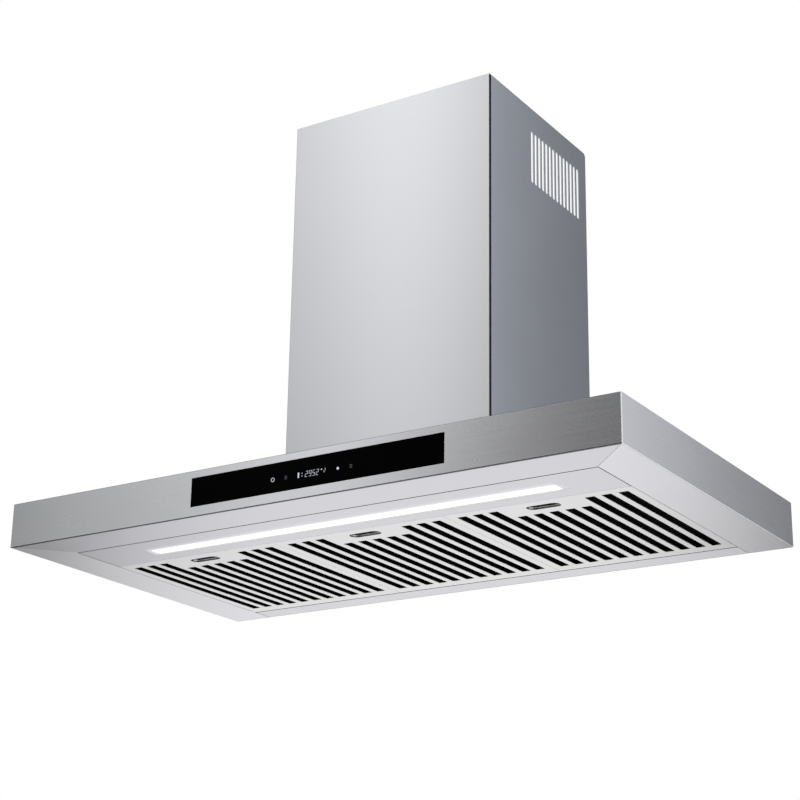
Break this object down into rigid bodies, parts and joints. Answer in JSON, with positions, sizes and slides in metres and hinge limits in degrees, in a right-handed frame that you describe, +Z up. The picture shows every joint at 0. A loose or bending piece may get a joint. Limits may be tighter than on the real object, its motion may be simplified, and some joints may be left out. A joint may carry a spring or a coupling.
{
  "type": "wall range hood",
  "caption": "Wall-mounted chimney range hood: flat box canopy with a light bar, swing-down baffle filters and touch controls, a ducted blower and a telescoping cover.",
  "frame": {"origin": "centre of the canopy's underside rectangle", "axes": "+X to the viewer's right when facing the front, +Y towards the wall behind the hood, +Z up"},
  "size_m": [0.9, 0.5, 0.64],
  "materials": {
    "brushed_steel": "brushed stainless, grain along the panel",
    "satin_steel": "fine satin stainless",
    "baffle_steel": "satin stainless, in deep shade behind the slots",
    "galvanised_steel": "galvanised sheet",
    "bezel_aluminium": "satin anodised",
    "diffuser": "frosted, lit from behind",
    "board": "circuit board",
    "white_plastic": "moulded",
    "black_plastic": "moulded",
    "black_glass": "polished black glass",
    "fan_metal": "zinc-plated pressed sheet",
    "motor_metal": "bare motor casing",
    "shaft_steel": "ground steel"
  },
  "bodies": {
    "hood": {"front_fascia": "brushed_steel", "left_side_panel": "brushed_steel", "right_side_panel": "brushed_steel", "top_panel": "brushed_steel", "back_panel": "galvanised_steel", "front_rim": "satin_steel", "left_rim": "satin_steel", "right_rim": "satin_steel", "rear_rail": "satin_steel", "light_panel": "satin_steel", "led_bezel": "bezel_aluminium", "led_diffuser": "diffuser", "led_channel": "bezel_aluminium", "led_board": "board", "led_driver": "white_plastic", "control_glass": "black_glass", "control_tray": "black_plastic", "control_board": "board", "blower_box_front": "galvanised_steel", "blower_box_left": "galvanised_steel", "blower_box_right": "galvanised_steel", "blower_box_top": "galvanised_steel", "wall_plate": "galvanised_steel", "scroll_housing": "black_plastic", "motor_body": "motor_metal", "motor_bracket": "galvanised_steel", "run_capacitor": "white_plastic", "terminal_box": "black_plastic", "cable_gland": "black_plastic", "outlet_collar": "galvanised_steel", "damper_axle": "shaft_steel", "chimney_front": "brushed_steel", "chimney_left": "brushed_steel", "chimney_right": "brushed_steel", "chimney_foot_left": "galvanised_steel", "chimney_foot_right": "galvanised_steel"},
    "chimney_section": {"chimney_inner": "brushed_steel"},
    "filter_left": {"filter_left_tray": "satin_steel", "filter_left_baffles": "baffle_steel"},
    "latch_left": {"filter_left_latch": "satin_steel"},
    "filter_middle": {"filter_middle_tray": "satin_steel", "filter_middle_baffles": "baffle_steel"},
    "latch_middle": {"filter_middle_latch": "satin_steel"},
    "filter_right": {"filter_right_tray": "satin_steel", "filter_right_baffles": "baffle_steel"},
    "latch_right": {"filter_right_latch": "satin_steel"},
    "rotor": {"impeller": "fan_metal", "motor_shaft": "shaft_steel"},
    "flap_front": {"damper_flap_front": "galvanised_steel"},
    "flap_rear": {"damper_flap_rear": "galvanised_steel"}
  },
  "joints": [
    {"name": "chimney_lift", "type": "slide", "parent": "hood", "child": "chimney_section", "axis": [0, 0, 1], "range_m": [0, 0.4]},
    {"name": "filter_left_swing", "type": "hinge", "parent": "hood", "child": "filter_left", "pos_m": [-0.25867, 0.2127, 0.00135], "axis": [1, 0, 0], "range_deg": [0, 70]},
    {"name": "latch_left_slide", "type": "slide", "parent": "filter_left", "child": "latch_left", "axis": [0, 1, 0], "range_m": [0, 0.006], "stiffness_N_per_m": 400, "springref_m": -0.004},
    {"name": "filter_middle_swing", "type": "hinge", "parent": "hood", "child": "filter_middle", "pos_m": [0, 0.2127, 0.00135], "axis": [1, 0, 0], "range_deg": [0, 70]},
    {"name": "latch_middle_slide", "type": "slide", "parent": "filter_middle", "child": "latch_middle", "axis": [0, 1, 0], "range_m": [0, 0.006], "stiffness_N_per_m": 400, "springref_m": -0.004},
    {"name": "filter_right_swing", "type": "hinge", "parent": "hood", "child": "filter_right", "pos_m": [0.25867, 0.2127, 0.00135], "axis": [1, 0, 0], "range_deg": [0, 70]},
    {"name": "latch_right_slide", "type": "slide", "parent": "filter_right", "child": "latch_right", "axis": [0, 1, 0], "range_m": [0, 0.006], "stiffness_N_per_m": 400, "springref_m": -0.004},
    {"name": "rotor_spin", "type": "hinge", "parent": "hood", "child": "rotor", "pos_m": [0, 0.12327, 0.19466], "axis": [1, 0, 0], "continuous": true},
    {"name": "flap_front_open", "type": "hinge", "parent": "hood", "child": "flap_front", "pos_m": [0, 0.0716, 0.34875], "axis": [-1, 0, 0], "range_deg": [0, 75]},
    {"name": "flap_rear_open", "type": "hinge", "parent": "hood", "child": "flap_rear", "pos_m": [0, 0.0716, 0.34875], "axis": [1, 0, 0], "range_deg": [0, 75]}
  ]
}
